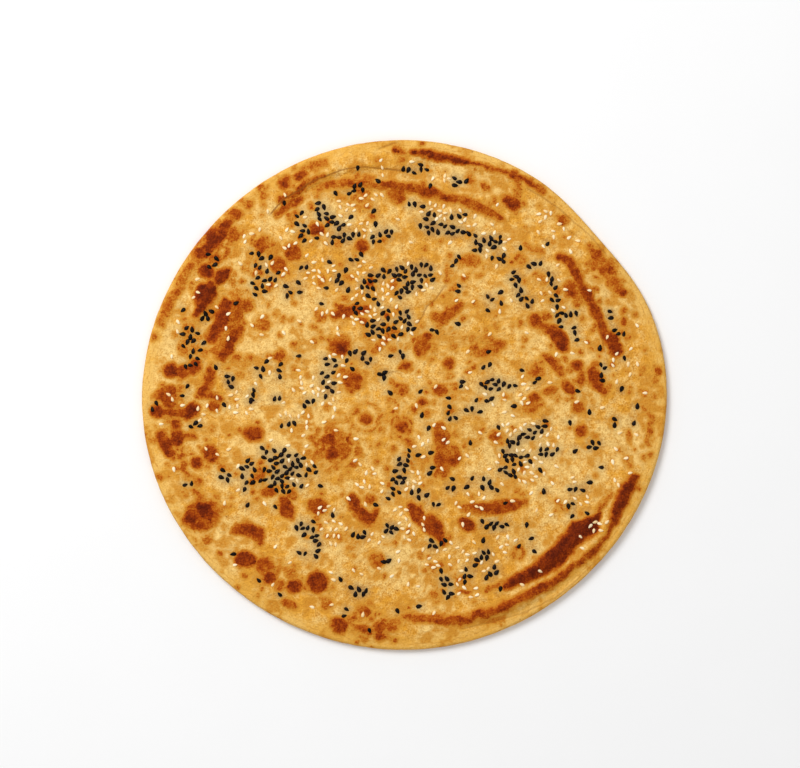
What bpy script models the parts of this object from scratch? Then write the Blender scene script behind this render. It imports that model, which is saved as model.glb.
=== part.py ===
"""Paratha: a large griddle bread, rolled out flat from a coiled strip of dough.

The bread is one solid. +Z is up and the origin is on the surface that it lies on, under the middle
of its box. A place on the bread is an angle in degrees, counterclockwise from +X, and a share of
the rim's radius at that angle. Sizes are in metres.
"""

import math
from collections import namedtuple

import bmesh
import bpy
from mathutils import Vector

# Driving dimensions
MEAN_RADIUS = 0.1288  # of the rolled-out round
DOUGH_THICKNESS = 0.0058  # where the dough lies flat
RIM_THICKNESS = 0.0040  # of the rolled edge
SHOULDER = 0.011  # how far in from the edge the dough reaches its full thickness
FLAT_SHARE = 0.88  # the underside lies flat on the plate out to here
RIM_LIFT = 0.0010  # most that the edge curls up off the plate

# The outline: a slow widening across, and one flatter stretch where the coil's tail is tucked in.
Wave = namedtuple("Wave", "count amplitude peak_deg")  # amplitude is a share of the mean radius
OUTLINE_WAVES = (
    Wave(2, 0.0147, 4),
    Wave(3, 0.0021, -12),
    Wave(4, 0.0041, 6),
)
TAIL_DENT = 0.0038
TAIL_DEG = 38.4
TAIL_SPREAD_DEG = 14.7

# The coil's turns, as they stand proud after rolling. Each runs from one angle to another, bowing
# out by bow on the way. inner and outer are how wide its two flanks are. A crease goes down.
Fold = namedtuple("Fold", "start_deg end_deg start_share end_share bow height inner outer")
FOLDS = (
    Fold(127, 86, 0.878, 0.878, 0.030, 0.0015, 0.0018, 0.0080),  # top lip, laid over the next turn
    Fold(94, 50, 0.953, 0.980, -0.018, 0.0011, 0.0030, 0.0022),  # thin edge above it
    Fold(114, 59, 0.869, 0.797, -0.014, 0.0011, 0.0040, 0.0040),
    Fold(44, 8, 0.831, 0.781, 0.007, 0.0013, 0.0022, 0.0050),
    Fold(42, 19, 0.946, 0.913, 0.025, 0.0011, 0.0050, 0.0040),
    Fold(-63, -27, 0.828, 0.861, 0.015, 0.0018, 0.0055, 0.0035),  # the broad burnt ridge
    Fold(-88, -18, 0.876, 0.914, 0.033, 0.0014, 0.0035, 0.0030),
    Fold(-76, -36, 0.938, 0.988, 0.000, -0.0007, 0.0016, 0.0016),  # crease below the rolled edge
    Fold(168, 130, 0.967, 0.962, 0.006, 0.0009, 0.0035, 0.0030),
    Fold(164, 144, 0.853, 0.845, 0.010, 0.0014, 0.0050, 0.0040),
    Fold(171, 148, 0.712, 0.735, 0.010, 0.0012, 0.0045, 0.0045),
    Fold(173, 262, 0.905, 0.925, 0.000, 0.0008, 0.0060, 0.0060),
)

# Long swells of the rolled dough
Swell = namedtuple("Swell", "height wavelength heading_deg offset_deg")
SWELLS = (
    Swell(0.00035, 0.074, 20, 40),
    Swell(0.00030, 0.053, 105, 200),
    Swell(0.00022, 0.037, 60, 310),
)

# Mesh density
SECTORS = 144
TOP_RINGS = 27
EDGE_STEPS = 5
UNDERSIDE_SHARES = (0.30, 0.60, FLAT_SHARE, 0.95)

CRUST_COLOUR = (0.62, 0.33, 0.07, 1.0)  # golden brown dough, linear
CRUST_ROUGHNESS = 0.55


def clear_scene():
    for obj in list(bpy.data.objects):
        bpy.data.objects.remove(obj)


def ease(t):
    """0 below t = 0, 1 above t = 1, and smooth between."""
    t = min(max(t, 0.0), 1.0)
    return t * t * (3 - 2 * t)


def rim_radius(angle_deg):
    """The mean radius with its waves, less the flatter stretch, which fades as a bell curve."""
    ripple = sum(
        wave.amplitude * math.cos(math.radians(wave.count * (angle_deg - wave.peak_deg)))
        for wave in OUTLINE_WAVES
    )
    off = (angle_deg - TAIL_DEG + 180) % 360 - 180
    return MEAN_RADIUS * (1 + ripple) - TAIL_DENT * math.exp(-((off / TAIL_SPREAD_DEG) ** 2))


def fold_height(fold, share, angle_deg):
    """A rounded ridge along the fold's line, narrower on its steep flank, tapering at both ends."""
    span = abs(fold.end_deg - fold.start_deg)
    turn = 1 if fold.end_deg > fold.start_deg else -1
    along = ((angle_deg - fold.start_deg) * turn) % 360 / span
    if along >= 1:
        return 0.0
    line = fold.start_share + (fold.end_share - fold.start_share) * along
    line += fold.bow * math.sin(math.pi * along)
    off = (share - line) * MEAN_RADIUS
    flank = fold.outer if off > 0 else fold.inner
    taper = math.sqrt(math.sin(math.pi * along))
    return fold.height * taper * math.exp(-((off / flank) ** 2))


def swell_height(x, y):
    total = 0.0
    for swell in SWELLS:
        heading = math.radians(swell.heading_deg)
        run = x * math.cos(heading) + y * math.sin(heading)
        phase = math.tau * run / swell.wavelength + math.radians(swell.offset_deg)
        total += swell.height * math.sin(phase)
    return total


def underside_height(share, angle_deg):
    """Flat, then curling up towards the edge by an amount that varies round the bread."""
    curl = (1 + math.cos(math.radians(3 * angle_deg + 70))) / 2
    return RIM_LIFT * curl * ease((share - FLAT_SHARE) / (1 - FLAT_SHARE))


def top_height(share, angle_deg, radius):
    """Rim thickness rising over the shoulder to the full dough, plus its swells and folds."""
    shoulder = ease((1 - share) * radius / SHOULDER)
    height = RIM_THICKNESS + (DOUGH_THICKNESS - RIM_THICKNESS) * shoulder
    angle = math.radians(angle_deg)
    x = radius * share * math.cos(angle)
    y = radius * share * math.sin(angle)
    height += shoulder * swell_height(x, y)
    height += sum(fold_height(fold, share, angle_deg) for fold in FOLDS)
    return height + underside_height(share, angle_deg)


def half_section():
    """Half of the bread's section as (share, level): along the underside, round the edge and back
    over the top. level runs from 0 on the underside to 1 on the top."""
    rounding = RIM_THICKNESS / 2 / MEAN_RADIUS
    points = [(0.0, 0.0)]
    points += [(share, 0.0) for share in UNDERSIDE_SHARES]
    for step in range(EDGE_STEPS + 1):
        turn = math.pi * (step / EDGE_STEPS - 0.5)
        points.append((1 - rounding * (1 - math.cos(turn)), (1 + math.sin(turn)) / 2))
    for ring in range(1, TOP_RINGS):
        inward = ring / TOP_RINGS
        points.append(((1 - rounding) * (1 - inward ** 1.35), 1.0))
    points.append((0.0, 1.0))
    return points


def shape_vertex(co):
    """Takes a point of the spun section, of unit radius and height, to its place on the bread."""
    share = math.hypot(co.x, co.y)
    angle_deg = math.degrees(math.atan2(co.y, co.x))
    radius = rim_radius(angle_deg)
    low = underside_height(share, angle_deg)
    high = top_height(share, angle_deg, radius)
    return Vector((co.x * radius, co.y * radius, low + (high - low) * co.z))


def centre_on_box(bm):
    """Moves the bread so that the origin is under the middle of its box."""
    xs = [vert.co.x for vert in bm.verts]
    ys = [vert.co.y for vert in bm.verts]
    middle = Vector(((min(xs) + max(xs)) / 2, (min(ys) + max(ys)) / 2, 0))
    bmesh.ops.translate(bm, verts=bm.verts, vec=-middle)


def crust_material():
    material = bpy.data.materials.new("crust")
    material.use_nodes = True
    shader = material.node_tree.nodes["Principled BSDF"]
    shader.inputs["Base Color"].default_value = CRUST_COLOUR
    shader.inputs["Roughness"].default_value = CRUST_ROUGHNESS
    shader.inputs["Metallic"].default_value = 0.0
    return material


def make_bread():
    bm = bmesh.new()
    section = [bm.verts.new((share, 0, level)) for share, level in half_section()]
    edges = [bm.edges.new(pair) for pair in zip(section, section[1:])]
    bmesh.ops.spin(
        bm,
        geom=section + edges,
        cent=(0, 0, 0),
        axis=(0, 0, 1),
        angle=math.tau,
        steps=SECTORS,
        use_merge=True,
    )
    bmesh.ops.remove_doubles(bm, verts=bm.verts, dist=1e-6)
    for vert in bm.verts:
        vert.co = shape_vertex(vert.co)
    centre_on_box(bm)
    bmesh.ops.recalc_face_normals(bm, faces=bm.faces)

    mesh = bpy.data.meshes.new("paratha")
    bm.to_mesh(mesh)
    bm.free()
    mesh.shade_smooth()
    mesh.materials.append(crust_material())
    bread = bpy.data.objects.new("paratha", mesh)
    bpy.context.scene.collection.objects.link(bread)
    return bread


clear_scene()
make_bread()
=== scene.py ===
"""Paratha, the looks: a griddle-browned crust strewn with black and pale sesame, on a pale floor.

Places on the bread are in millimetres from the middle of its coil, X to the right and Y away, and
headings are in degrees counterclockwise from +X. Finished meshes are in metres.
"""

import math
from collections import namedtuple

import bpy
import numpy as np
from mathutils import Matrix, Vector


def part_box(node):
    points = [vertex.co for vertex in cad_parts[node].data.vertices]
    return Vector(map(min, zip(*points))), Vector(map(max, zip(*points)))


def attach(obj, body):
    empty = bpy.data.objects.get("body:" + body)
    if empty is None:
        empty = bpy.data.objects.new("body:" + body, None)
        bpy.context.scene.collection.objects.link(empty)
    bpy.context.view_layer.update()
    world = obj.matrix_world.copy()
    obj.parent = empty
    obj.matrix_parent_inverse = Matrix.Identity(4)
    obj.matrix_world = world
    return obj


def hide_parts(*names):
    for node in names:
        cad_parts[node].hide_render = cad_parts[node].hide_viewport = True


MM = 0.001

# ---- The bread's form, as its solid has it ----------------------------------------------------

MEAN_RADIUS = 128.8
DOUGH_THICKNESS = 5.8
RIM_THICKNESS = 4.0
SHOULDER = 11.0  # how far in from the edge the dough reaches its full thickness
FLAT_SHARE = 0.88  # the underside lies flat out to this share of the rim's radius
RIM_LIFT = 1.0  # most that the edge curls up
SINK = 0.58  # the plain crust lies this far under the solid's top, which leaves room for blisters

Wave = namedtuple("Wave", "count amplitude peak_deg")  # amplitude is a share of the mean radius
OUTLINE_WAVES = (Wave(2, 0.0147, 4), Wave(3, 0.0021, -12), Wave(4, 0.0041, 6))
TAIL_DENT = 3.8
TAIL_DEG = 38.4
TAIL_SPREAD_DEG = 14.7

# A coil's turn that stands proud after rolling, from one angle to another. Shares are of the rim's
# radius, inner and outer are the widths of its two flanks. A crease goes down.
Fold = namedtuple("Fold", "start_deg end_deg start_share end_share bow height inner outer")
FOLDS = (
    Fold(127, 86, 0.878, 0.878, 0.030, 1.5, 1.8, 8.0),  # top lip, laid over the next turn
    Fold(94, 50, 0.953, 0.980, -0.018, 1.1, 3.0, 2.2),  # thin edge above it
    Fold(114, 59, 0.869, 0.797, -0.014, 1.1, 4.0, 4.0),
    Fold(44, 8, 0.831, 0.781, 0.007, 1.3, 2.2, 5.0),
    Fold(42, 19, 0.946, 0.913, 0.025, 1.1, 5.0, 4.0),
    Fold(-63, -27, 0.828, 0.861, 0.015, 1.8, 5.5, 3.5),  # the broad burnt ridge
    Fold(-88, -18, 0.876, 0.914, 0.033, 1.4, 3.5, 3.0),
    Fold(-76, -36, 0.938, 0.988, 0.000, -0.5, 1.6, 1.6),  # crease below the rolled edge
    Fold(168, 130, 0.967, 0.962, 0.006, 0.9, 3.5, 3.0),
    Fold(164, 144, 0.853, 0.845, 0.010, 1.4, 5.0, 4.0),
    Fold(171, 148, 0.712, 0.735, 0.010, 1.2, 4.5, 4.5),
    Fold(173, 262, 0.905, 0.925, 0.000, 0.8, 6.0, 6.0),
)

Swell = namedtuple("Swell", "height wavelength heading offset_deg")
SWELLS = (Swell(0.35, 74, 20, 40), Swell(0.30, 53, 105, 200), Swell(0.22, 37, 60, 310))

# Mesh density of the crust
OUTLINE_TRIM = 0.12  # keeps the finer outline inside the solid's box
SECTORS = 720
TOP_RINGS = 112
EDGE_STEPS = 8
UNDERSIDE_RINGS = 11

# ---- Marks of the griddle ---------------------------------------------------------------------

# Blisters: x, y, half length, half width, heading, and how dark from 0 to 1
BLISTERS = (
    # far left
    (-95.5, 79.5, 4.8, 3, 70, .85), (-101, 71, 4, 3, 0, .8), (-85.5, 80, 3.3, 3.3, 0, .6),
    (-84, 90, 3, 2.5, 0, .65), (-94, 68, 3, 3, 0, .6), (-98, 62, 3.5, 3, 0, .9),
    (-90.5, 59.5, 4.5, 2.8, 55, .9), (-101, 51, 5, 3, 60, 1), (-70.5, 75, 5, 3, 70, .55),
    (-62.5, 65, 4.5, 3.5, 120, .65), (-55.5, 71.5, 4.3, 4.3, 0, .65), (-67.5, 53.5, 1.8, 1.8, 0, .5),
    (-51.5, 79, 2, 2, 0, .5), (-60, 105, 2.8, 2.8, 0, .8), (-58.5, 108, 1.5, 1.5, 0, .75),
    (-52, 109.5, 3, 2, 20, .8), (-56, 89, 2.5, 2, 0, .45), (-70, 100, 2, 2, 0, .5),
    (-78, 95, 2.5, 2.5, 0, .45), (-103, 64, 2.5, 2.5, 0, .4), (-84, 50, 5, 3, 30, .35), (-78, 45, 3.2, 3, 0, .6),
    (-83.5, 42, 4, 3, 0, .5),
    (-43.5, 82.5, 3.4, 3.4, 0, .8), (-44, 113.5, 2.5, 2.5, 0, .4), (-73, 62, 2, 2, 0, .35),
    # left
    (-84, 18, 2.5, 2.5, 0, .5), (-70, 35.5, 3.5, 3.5, 0, .5), (-61.5, 19.5, 3, 3, 0, .6),
    (-67.5, 20, 1.5, 1.5, 0, .4), (-116, 12.5, 3.3, 3.3, 0, .85), (-110, 12, 3, 3, 0, .7),
    (-104.5, 14, 4, 2.8, 60, .75), (-107, 33, 3, 3, 0, .5), (-109, 24, 3, 3, 0, .45),
    (-103, 22, 2, 2, 0, .5), (-99, 21, 2, 2, 0, .45), (-94.5, -5.5, 2.7, 2.7, 0, .7), (-119, 1, 6, 3, 20, .7), (-117, -2, 4, 4, 0, .65),
    (-123, -8, 3, 3, 0, .85), (-106, -8, 4.5, 3.2, 50, .9), (-113.5, -14.5, 2.2, 2.2, 0, .8),
    (-113, -21, 4, 3, 90, .85), (-118, -25, 4.5, 2.5, 120, .8), (-96.5, -29, 4.5, 4, 120, .75),
    (-103, -34, 2.6, 2.6, 0, .75), (-109, -34, 2, 2, 0, .55), (-108, -40, 2, 2, 0, .45),
    (-102.5, -43, 2, 2, 0, .6), (-110, -30, 2, 2, 0, .5), (-75, -19, 4.5, 3.8, -20, .8),
    (-96, -16, 2, 2, 0, .4), (-72, -39, 3, 4, 0, .5),
    # near left
    (-100.5, -60, 9.4, 7.2, 20, .6), (-99.3, -57.5, 5.2, 3.2, -55, .95),
    (-106, -60.6, 3.2, 3.6, 0, .8), (-101.5, -65, 5, 1.8, 0, .72), (-93.5, -57, 3.6, 3.4, 0, .5), (-101, -51, 2.5, 2.5, 0, .5),
    (-79.5, -81.5, 5, 3.5, 0, .9), (-69.5, -85, 4.5, 5, 0, .6), (-67, -91, 3, 3, 0, .75),
    (-61.5, -94.5, 2.7, 2.7, 0, .65), (-54.5, -95, 3, 3, 0, .9), (-43.5, -93, 4.8, 4.8, 0, .85),
    (-55.5, -86.5, 2.5, 2.5, 0, .45), (-57, -104, 4, 2.2, -25, .6), (-58.5, -56, 6, 3.2, -65, .75),
    (-56, -49, 3, 3, 0, .45), (-67, -48, 4, 2.5, 0, .6), (-43, -55, 4.5, 4, 0, .7),
    # near
    (-24.5, -54, 3.2, 3.2, 0, .8), (-17, -52, 2.5, 2.5, 0, .6), (6.3, -59, 6, 2.9, -56, .78), (14.3, -65, 5.6, 4.2, -50, .78),
    (31, -64.5, 4.3, 2.8, -35, .8), (-13.5, -82, 3.5, 3, 0, .5), (14.5, -85.5, 2.3, 2.3, 0, .45),
    (15, -99, 2.2, 2.2, 0, .45), (28, -93, 2, 2, 0, .45), (30, -97.5, 3, 1, 0, .6),
    (-38, -104, 2.5, 3, 0, .5), (-32, -114.5, 4.2, 4.2, 0, .75), (-20, -107, 3.5, 2.5, -40, .6),
    (-20, -116.5, 3.5, 2, 0, .6), (-12, -115, 3, 3, 0, .65), (-6.5, -114.5, 2.6, 2.6, 0, .6),
    (-11.5, -120, 2.5, 1.5, 0, .7), (-35, -70, 5, 1.5, 0, .4), (-26, -76, 3, 2, 0, .3),
    # right
    (65.5, 37.5, 3.2, 3.2, 0, .75), (77.5, 28, 6.5, 3.6, -60, .85), (71.5, 39.5, 2.2, 2.2, 0, .55),
    (64.5, 12, 3.2, 2.2, 15, .6), (77, 14, 2, 2, 0, .7), (86.5, 15, 2.6, 2.6, 0, .7),
    (88, 9, 3.2, 1.8, 90, .75), (82, 4.5, 3.5, 2.5, -50, .75), (65, -1.5, 2.5, 2.5, 0, .75),
    (63, -6, 3.3, 3.3, 0, .5), (73, 3, 4, 2, 20, .55), (87, -6, 2.6, 2.6, 0, .65),
    (88.5, -18, 2.8, 2.8, 0, .7), (95, 15, 2, 2, 0, .45), (103, 28, 3.5, 3.5, 0, .85),
    (105, 23, 3.2, 3.2, 0, .85), (83, 53, 4, 4, 0, .65), (86, 48, 3, 4, 0, .5),
    (109, 51, 2, 2, 0, .75), (96, 71, 2, 2, 0, .75), (103, 62, 2.4, 2.4, 0, .75),
    (109.5, 36.5, 1.8, 1.8, 0, .65), (126, 12.5, 2.3, 1.6, 90, .6), (112, -21, 3, 1.2, 90, .5),
    (119, -31, 1.3, 1.3, 0, .4), (113, -42, 1.8, 1.8, 0, .6), (118.5, 12, 3, 1.6, 60, .35),
    (58.5, -49, 1.5, 1.5, 0, .4), (77, -53, 1.5, 1.5, 0, .45), (103, -49, 1.5, 1.5, 0, .4),
    # far right and far
    (53.5, 96, 4.5, 2.8, -35, .75), (79, 87.5, 2.8, 2, 0, .6), (58, 68, 2.2, 2.2, 0, .4),
    (67, 59, 3, 3, 0, .4), (40.5, 103.5, 3.5, 1.6, -40, .5), (54.5, 109.7, 1.8, 1.6, 0, .9),
    (63, 106, 1.3, 1.3, 0, .9), (12, 101, 5.4, 2.8, -8, .78), (-4, 100, 4.6, 4.6, 0, .52),
    (-22, 97.5, 3, 2, 0, .5), (-21, 74, 3, 2.5, 0, .65), (-2, 117, 2, 2, 0, .35),
    (22.5, 61.5, 2, 2, 0, .4), (33, 67, 5, 3.5, 0, .45), (-4.5, 55.5, 2, 2, 0, .6),
    (-17, 57, 2, 2, 0, .6), (-28, 59, 3, 2, 0, .45), (-41, 56, 2.5, 2.5, 0, .4),
    # middle
    (-31, 42, 3, 3, 0, .75), (-41.5, 40, 3, 3, 0, .45), (-22, 43, 2, 2, 0, .65),
    (-19, 36, 2.2, 2.2, 0, .55), (-7, 32, 5, 4, 0, .35), (-32, 25, 5.5, 4.5, 20, .6),
    (-31, 23.5, 3, 3, 0, .85), (-26, 7.3, 5.6, 4.6, 90, .64), (-31, 12, 2, 2, 0, .4),
    (-12, 25, 5, 2.5, 35, .45), (9, 24.5, 5.5, 4, 80, .55), (10.5, 28.5, 3, 1.8, 10, .75), (1, 14.5, 2.3, 2.3, 0, .7),
    (22.5, 16, 2.5, 2.5, 0, .7), (22.5, 9.5, 2, 2, 0, .45), (-1.5, 3, 3, 2.5, 0, .6),
    (-1, -15.2, 3.1, 3.1, 0, .8),
    (18, 2.2, 3.6, 2.6, 10, .6), (9, -3, 2, 2, 0, .75), (-5.5, -3, 3, 1.5, -25, .4),
    (-19, -11.5, 2.6, 2.6, 0, .75), (3, -23.5, 2.3, 2.3, 0, .6), (-34, -25, 9, 6, 90, .5),
    (-37, -22, 3, 3, 0, .8), (-36, -29, 3.5, 3.5, 0, .8), (-31, -28, 4, 4, 0, .6),
    (24, -30, 4.6, 5.2, 0, .6), (20, 38.5, 3, 3, 0, .7), (34, 28, 2, 2, 0, .5),
    (39, 21, 5, 2, 10, .5), (42, 28, 2.5, 2.5, 0, .45), (46, 25, 4, 3, 0, .5),
    (45.5, -20, 2.5, 2.5, 0, .6), (27.5, -1.5, 1.6, 1.6, 0, .4), (5, -34, 3, 2, 0, .3),
)

# Small spots: x, y, radius, and how dark
SPOTS = (
    (-81, 96, 1.8, .4), (-106, 54, 1.5, .35), (-81.5, 10.5, 2, .35), (-107, 27, 5, .3),
    (-98, -71, 2.5, .35), (-14, -84, 2, .45), (-22, -111, 2, .4), (-26, -112, 1.8, .45),
    (60, 28, 1.8, .35), (82, 13, 1.5, .5), (68, -4.8, 1.2, .6), (109, 42, 1.5, .5),
    (118, 2, 1.5, .4), (112, -35, 1.2, .45), (56, 101.5, 2.5, .35), (69, 57, 2, .4),
    (60, 83, 1.5, .3), (-18, 95, 2.6, .4), (-33, 75.5, 1.8, .4), (11, 114, 1.5, .3),
    (18.5, 77, 1.5, .4), (10, 73, 1.8, .35), (5, 87, 2, .3), (40, 64, 1.6, .3), (37, 60, 1.6, .3),
    (30, 59, 1.6, .3), (-22, 51, 2, .4), (-5, 50.5, 1.6, .45), (-29, 48.5, 2, .4), (-4, 42, 2, .4),
    (-6, 23.5, 1.8, .45), (24.5, 24.5, 1.8, .4), (-5, -27, 1.8, .4), (-11.5, -17.5, 2, .35),
    (-38.5, -5.5, 1.2, .6), (-35, -15.5, 1.2, .5), (21, -20, 2, .5), (24.5, 32, 1.2, .35),
    (35, 23, 2.2, .55), (25, 4, 1.5, .35), (36, -11, 1.2, .4), (38, -21, 1.2, .45),
    (26, -19, 1.5, .45), (30.5, -25, 1.5, .4), (13, -43.5, 1.5, .4), (-13.5, -33, 1.5, .4),
)

# Rings: x, y, radius, half width of the line, and how dark
RINGS = (
    (-1, -15.2, 4.9, 0.5, .5),  # round the coil's navel
    (-19.5, -11, 7, 0.6, .38),
    (-90.5, 72, 2.8, 0.9, .6),
    (57, -78.5, 2.4, 0.8, .5),
    (58, 68, 2.2, 0.7, .5),
    (80, -55, 1.8, 0.7, .4),
)

# Burnt lines: how dark, then x, y and half width along the line
BURNT_LINES = (
    (.65, (-60, 97, 1.2), (-50, 104, 2), (-40, 109, 1.2)),
    (.7, (-64, 90.5, 1.3), (-60, 92.5, 1.6), (-55, 96.5, 1.6), (-52, 98, 1.2)),
    (.6, (-90, 84, 1.2), (-86, 87.5, 1.6), (-82.5, 90, 1.5)),
    (.92, (-99, 71, 2.2), (-95, 76, 2.8), (-91, 81.5, 2.8), (-87, 86.5, 1.3)),
    (.55, (-50, 112, 1.4), (-44, 114.5, 2), (-39, 115.5, 1.4)),
    (.5, (-121, 35, 1.8), (-118, 44, 2.4), (-113, 52, 2.2), (-109, 60, 2), (-106, 66, 1.8)),
    (.5, (-105, 67, 2), (-99, 78, 2)),
    (.95, (-96, 56, 1.4), (-98, 51, 4.0), (-101, 44, 2.4), (-104, 40, 1.2)),
    (.86, (-89, 46, 2.6), (-91, 37, 3.4), (-96, 29, 2.6)),
    (.82, (-82, 34, 1.8), (-86, 28, 2.8), (-90, 19, 1.8)),
    (.52, (-84, 46, 4.5), (-86, 38, 5.5), (-91, 28, 4.5), (-91, 20, 3)),
    (.7, (-96.5, 11, 2.6), (-98, 6, 2.8), (-100, 2, 2.4), (-96, 0, 2), (-91, -1.5, 1.4)),
    (.75, (-121, -8, 1.6), (-113, -9, 1.8), (-107, -8, 1.4)),
    (.7, (-112, -20, 1), (-104, -21.5, 1)),
    (.8, (-121, -20, 2.2), (-116, -29, 2.5)),
    (.75, (-83, -66.5, 2.4), (-78, -66, 3.6), (-73.5, -69, 3.4), (-71.5, -73, 1.8)),
    (.8, (-26, -52, 2), (-23, -58, 2.6), (-18, -62, 2.6), (-14, -58, 1.6)),
    (.7, (16, -67, 3), (19.5, -72.5, 1.8)),
    (.7, (30, -56, 2), (38, -57, 2.8), (46, -56, 3), (54, -55, 2.6), (60, -53, 1.4)),
    (.68, (0, -110, 1), (10, -111.5, 1.8), (20, -111.5, 2), (28, -112.5, 2.2), (36, -110, 2)),
    (.74, (36, -110, 1.6), (45, -107, 1.9), (55, -102.5, 1.8), (65, -98, 2.2), (72, -94, 2.2)),
    (.72, (72, -94, 1.8), (80, -88, 1.6), (87, -84, 1.6), (93, -79, 1.2), (101, -69, 1.2),
     (104, -63, 1)),
    (.97, (50, -95, 1), (54, -92.5, 2), (61, -89.5, 3), (69, -85, 3.8), (76, -80.5, 4.2),
     (81, -73.5, 4), (87, -68, 5.2), (92, -65, 3.8), (96.5, -59, 1.2)),
    (.6, (93, -61, 1.4), (97, -57, 1.2), (102, -50, .8)),
    (.95, (114, -41, 1.8), (110.5, -48, 2.8), (107.5, -55, 3), (104.5, -62, 1.3)),
    (.5, (97, -57, 1), (100, -52, 1.2), (104, -49, 1)),
    (.45, (41, -97, 1.2), (48, -95, 1.5)),
    (.7, (65, 38, 1.8), (70, 34.5, 1.7), (75, 30.5, 2.4)),
    (.7, (71, 19, 1.6), (76, 16, 2), (78, 12, 1.6)),
    (.72, (93.5, 12, 2), (95, 8, 3), (99, 2.5, 1.8)),
    (.8, (78, 69, 1.4), (81, 66.5, 2), (86, 60, 2.2), (92, 48, 2.2), (98, 36, 2.2),
     (100, 31, 2.2), (103, 27, 2.4), (105, 22, 2)),
    (.56, (92, 74, 1.8), (96, 70, 3), (100, 64, 3.2), (104, 58, 3.2), (108, 52, 2.8)),
    (.5, (119, -6, 1), (123, -12, 1.3), (123, -18, 1.3), (121, -24, 1)),
    (.95, (-3.5, 122, .8), (0, 121.6, .5)),
    (1, (4.5, 121.3, .6), (11, 120.6, 1.2), (20, 118.8, 1.4), (28, 117.2, 1.2), (33, 115.8, .6)),
    (.78, (33, 115.8, .7), (38, 114.5, .7), (45, 112.2, .8), (53, 110, 1), (60, 107.5, .9),
     (69, 102, .8)),
    (.5, (61, 75, 1.4), (68, 71, 1.6)),
    (.55, (-42, 103, 1.2), (-35, 105, 1.8), (-20, 105.5, 2), (-12, 104.5, 2.2)),
    (.64, (-12, 104.5, 1.6), (-5, 104.5, 2), (3, 103.5, 2), (8, 102, 2.4)),
    (.66, (13, 100.5, 2.2), (20, 98.5, 2), (27, 97.5, 1.8), (33, 95.5, 1.8), (40, 92.5, 1.7),
     (49, 87.5, 1.2)),
    (.7, (-34, 39, 2.4), (-30, 41.5, 3), (-24, 43, 2.6), (-18, 43, 1.6)),
    (.5, (-14, -6, 1), (-11.5, -9, 1.2), (-13, -14, 1)),
    (.62, (17.5, -16, 2.6), (19, -22, 3.4), (19.5, -30, 3.8), (18.5, -38, 3)),
    (.6, (15, 40, 1.8), (20, 38.5, 2.8), (25, 42, 2.6), (28, 44.5, 1.6)),
    (.35, (-20, 126, .9), (-10, 127, .9)),
)

# Grainy browning: x, y, radius, and how dark
DUSTINGS = (
    (-97, 79, 8, .5),
    (-36, -21, 9, .54), (-33, -31, 9, .6), (-96, 70, 9, .15), (-112, -8, 10, .2),
    (-100, 38, 8, .2), (-20, 101, 10, .25), (42, 24, 9, .35), (18, -28, 8, .3), (-25, 15, 8, .12),
    (98, 62, 8, .3), (-62, -90, 11, .15), (-20, -113, 11, .25), (45, -107, 8, .2),
    (-32, 42, 8, .2), (-86, 26, 8, .2), (-60, 70, 12, .08),
)

# Creases: how deep from 0 to 1, then x and y along each fine groove. The depth also sets a dark
# line painted along each groove, partly browning and partly painted shade.
CREASES = (
    (.95, (-66, 91), (-60, 97.5), (-50, 103.5), (-45, 107)),
    (.85, (-45, 107), (-40, 108.5), (-30, 112.5)),
    (.75, (-30, 112.5), (-20, 113.7), (-5, 112.3), (0, 112)),
    (.45, (62, 102.5), (70, 98), (78, 92.5), (84, 87), (92, 80.5), (100, 71)),
    (.3, (80, 84), (85, 80), (90, 77), (92, 74)),
    (.4, (98, 36), (98, 30), (101, 18)),
    (.4, (30, -116), (45, -112.5), (60, -108), (75, -101), (86, -92), (95, -83)),
    (.5, (-12, 123), (-4, 126)),
    (.5, (-7, 11.3), (-4, 12)),
    (.65, (20, 54), (15.7, 47.8), (11.2, 44.2), (9.4, 39.7), (7.2, 36.6)),
    (.25, (17, 66), (21, 60), (21, 55)),
)

# Dough tone: x, y, radius, and how much more golden, or less, than the plain dough
TONES = (
    (-36, 118, 12, .16), (22, 92, 12, .10), (30, 36, 14, .02), (-28, -22, 18, -.04),
    (-4, -16, 16, .04), (-120, 24, 14, -.08), (-104, -4, 12, -.12), (-40, -110, 18, .10), (-8, -112, 16, .10),
    (104, -78, 16, .10), (4, 71, 11, .15), (-42, 90, 12, -.14), (-56, 4, 16, -.16),
    (-54, 32, 18, -.20), (-82, 60, 10, -.30), (-84, -40, 14, -.16), (-64, -30, 13, -.10),
    (-46, -66, 14, -.10), (48, -30, 14, -.10), (66, -26, 13, -.10), (0, -82, 13, -.30),
    (90, 20, 15, -.16), (52, 6, 12, -.10), (-66, 80, 9, -.06), (78, -30, 14, -.08),
    (84, 42, 8, -.08), (-10, 62, 14, .04), (46, -80, 15, .16), (18, -78, 8, .08),
    (-78, -98, 12, .12), (-40, 58, 10, .12), (60, 62, 10, .08), (60, 82, 10, .08), (62, -58, 10, .10), (62, -40, 9, -.16),
    (98, -42, 12, -.10), (-118, -44, 12, -.14),
    (38, 120, 12, -.28), (2, 40, 10, -.08), (20, 60, 9, -.20), (-22, -62, 13, -.06), (80, -82, 9, -.10), (66, -98, 9, -.12), (118, 40, 10, -.12), (118, -24, 12, -.12),
    (28, 120, 14, -.40), (-42, -18, 10, -.28), (-20, -40, 10, .08), (-60, -60, 10, .08),
    (-40, 60, 10, .06), (40, 62, 9, .08), (-60, 80, 8, .08), (-20, 60, 8, .06),
    (-96, -84, 14, -.26), (-20, 50, 12, .08), (20, -40, 10, .08), (-50, -60, 14, .07),
    (-100, -40, 9, .10), (-40, 80, 9, .08), (-20, 20, 9, .08), (-80, -100, 9, .10),
    (-80, 60, 9, -.10), (-60, 40, 10, -.08), (24, 40, 10, -.08), (104, 52, 12, -.10),
)

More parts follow.
